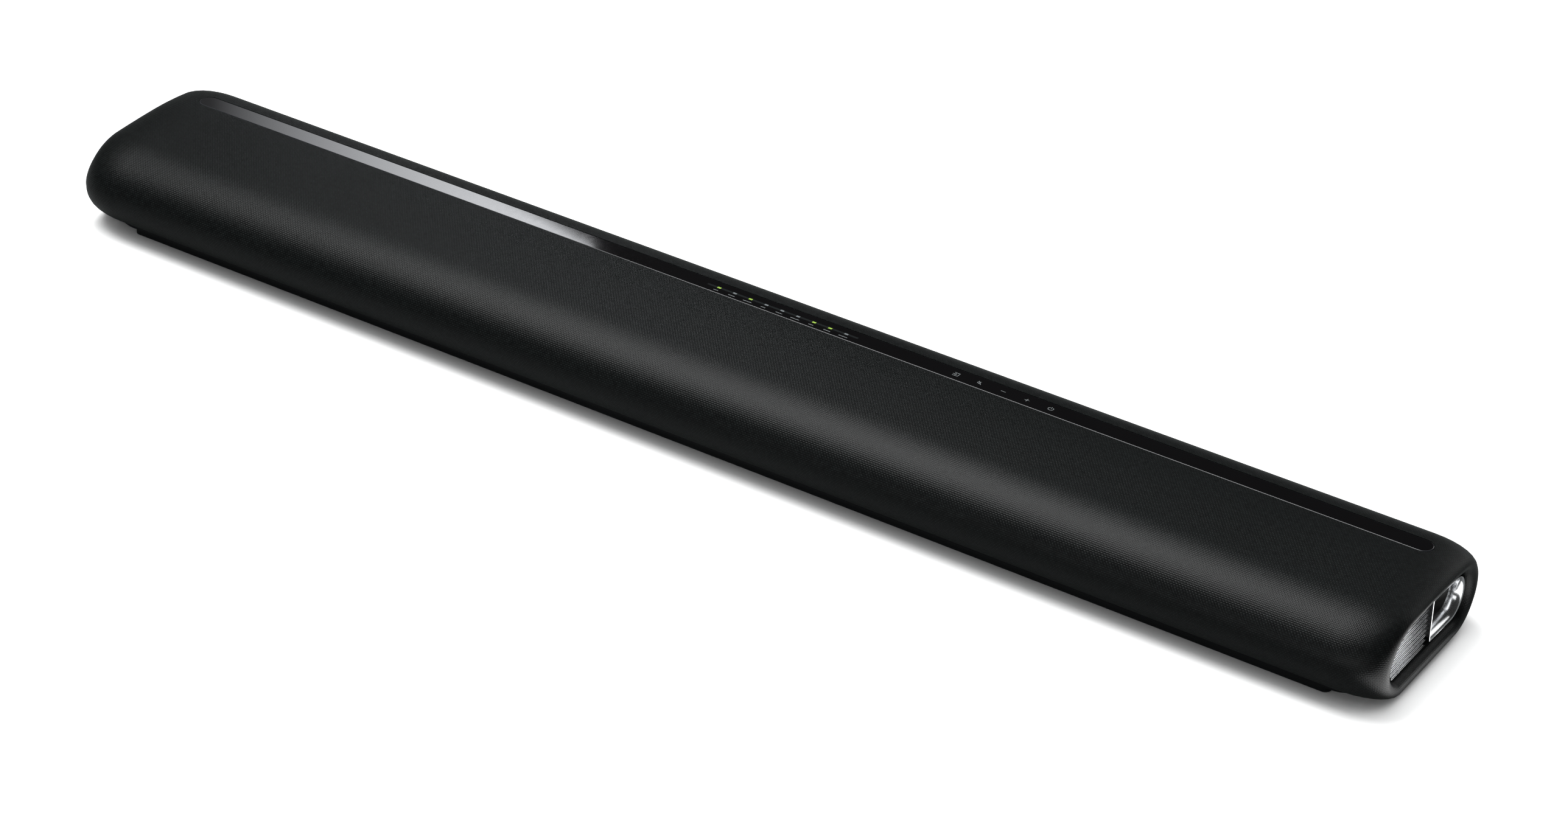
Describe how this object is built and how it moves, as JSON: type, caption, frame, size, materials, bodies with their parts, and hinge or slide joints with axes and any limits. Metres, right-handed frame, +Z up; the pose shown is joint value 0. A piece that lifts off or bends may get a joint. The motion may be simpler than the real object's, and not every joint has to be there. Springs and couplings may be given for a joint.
{
  "type": "soundbar",
  "caption": "Slim cloth-wrapped soundbar with rounded ends, a gloss touch strip along the top, finned end grilles and flared bass ports.",
  "frame": {"origin": "on the table under the middle of the bar", "axes": "+X along the bar to its right-hand end, seen from the front; +Y to the back; +Z up"},
  "size_m": [0.89, 0.131, 0.053],
  "materials": {
    "satin_black_plastic": "satin moulded plastic",
    "rubber": "soft rubber",
    "speaker_cloth": "woven polyester speaker cloth",
    "black_plastic": "moulded plastic",
    "gloss_black": "polished, printed from behind",
    "lit_lens": "translucent, lit",
    "grey_lens": "translucent, unlit",
    "clear_plastic": "clear moulded light guide",
    "circuit_board": "solder mask on glass-fibre board",
    "chrome_plate": "chrome plate on plastic",
    "pressed_steel": "pressed steel, black paint",
    "magnet_steel": "plated steel and ferrite",
    "paper_cone": "pulp cone with a coated face",
    "cloth_and_foam": "rubber surround and woven spider",
    "silk_dome": "coated silk",
    "socket_metal": "nickel plate",
    "violet_plastic": "moulded plastic",
    "component": "moulded electronic parts",
    "heat_sink_aluminium": "extruded",
    "flat_cable": "laminated flat cable",
    "cable": "insulated wire",
    "screw_steel": "zinc plate"
  },
  "bodies": {
    "housing": {"base_cover": "satin_black_plastic", "foot_pads": "rubber", "cloth_cover": "speaker_cloth", "grille_frame": "black_plastic", "end_ring_left": "black_plastic", "end_ring_right": "black_plastic", "touch_panel": "gloss_black", "indicator_lenses_lit": "lit_lens", "indicator_lenses_unlit": "grey_lens", "light_guide": "clear_plastic", "touch_board": "circuit_board", "strip_carrier": "black_plastic", "cabinet_left": "black_plastic", "cabinet_right": "black_plastic", "cabinet_gaskets": "rubber", "end_panel_left": "black_plastic", "end_panel_right": "black_plastic", "fin_grille_left": "chrome_plate", "fin_grille_right": "chrome_plate", "port_flare_left": "chrome_plate", "port_flare_right": "chrome_plate", "port_tube_left": "black_plastic", "port_tube_right": "black_plastic", "sub_frame_left": "pressed_steel", "sub_frame_right": "pressed_steel", "sub_magnet_left": "magnet_steel", "sub_magnet_right": "magnet_steel", "sub_suspension_left": "cloth_and_foam", "sub_suspension_right": "cloth_and_foam", "woofer_frame_left": "pressed_steel", "woofer_frame_right": "pressed_steel", "woofer_magnet_left": "magnet_steel", "woofer_magnet_right": "magnet_steel", "woofer_suspension_left": "cloth_and_foam", "woofer_suspension_right": "cloth_and_foam", "tweeter_housing_left": "black_plastic", "tweeter_housing_right": "black_plastic", "jack_panel": "satin_black_plastic", "hdmi_sockets": "socket_metal", "optical_socket": "black_plastic", "analog_jack": "black_plastic", "sub_out_jack": "violet_plastic", "service_port": "socket_metal", "mains_inlet": "black_plastic", "main_board": "circuit_board", "main_board_parts": "component", "power_board": "circuit_board", "power_board_parts": "component", "heat_sink": "heat_sink_aluminium", "wireless_module": "socket_metal", "ribbon_cable": "flat_cable", "speaker_leads": "cable", "base_screws": "screw_steel", "short_screws": "screw_steel"},
    "sub_cone_body_left": {"sub_cone_left": "paper_cone"},
    "sub_cone_body_right": {"sub_cone_right": "paper_cone"},
    "woofer_cone_body_left": {"woofer_cone_left": "paper_cone"},
    "woofer_cone_body_right": {"woofer_cone_right": "paper_cone"},
    "tweeter_dome_body_left": {"tweeter_dome_left": "silk_dome"},
    "tweeter_dome_body_right": {"tweeter_dome_right": "silk_dome"}
  },
  "joints": [
    {"name": "sub_travel_left", "type": "slide", "parent": "housing", "child": "sub_cone_body_left", "axis": [0, 0, 1], "range_m": [-0.003, 0.003], "stiffness_N_per_m": 1400, "deforming": ["sub_suspension_left"]},
    {"name": "sub_travel_right", "type": "slide", "parent": "housing", "child": "sub_cone_body_right", "axis": [0, 0, 1], "range_m": [-0.003, 0.003], "stiffness_N_per_m": 1400, "deforming": ["sub_suspension_right"]},
    {"name": "woofer_travel_left", "type": "slide", "parent": "housing", "child": "woofer_cone_body_left", "axis": [0, 0, 1], "range_m": [-0.002, 0.002], "stiffness_N_per_m": 1100, "deforming": ["woofer_suspension_left"]},
    {"name": "woofer_travel_right", "type": "slide", "parent": "housing", "child": "woofer_cone_body_right", "axis": [0, 0, 1], "range_m": [-0.002, 0.002], "stiffness_N_per_m": 1100, "deforming": ["woofer_suspension_right"]},
    {"name": "tweeter_travel_left", "type": "slide", "parent": "housing", "child": "tweeter_dome_body_left", "axis": [0, 0, 1], "range_m": [-0.0003, 0.0003], "stiffness_N_per_m": 2500},
    {"name": "tweeter_travel_right", "type": "slide", "parent": "housing", "child": "tweeter_dome_body_right", "axis": [0, 0, 1], "range_m": [-0.0003, 0.0003], "stiffness_N_per_m": 2500}
  ]
}
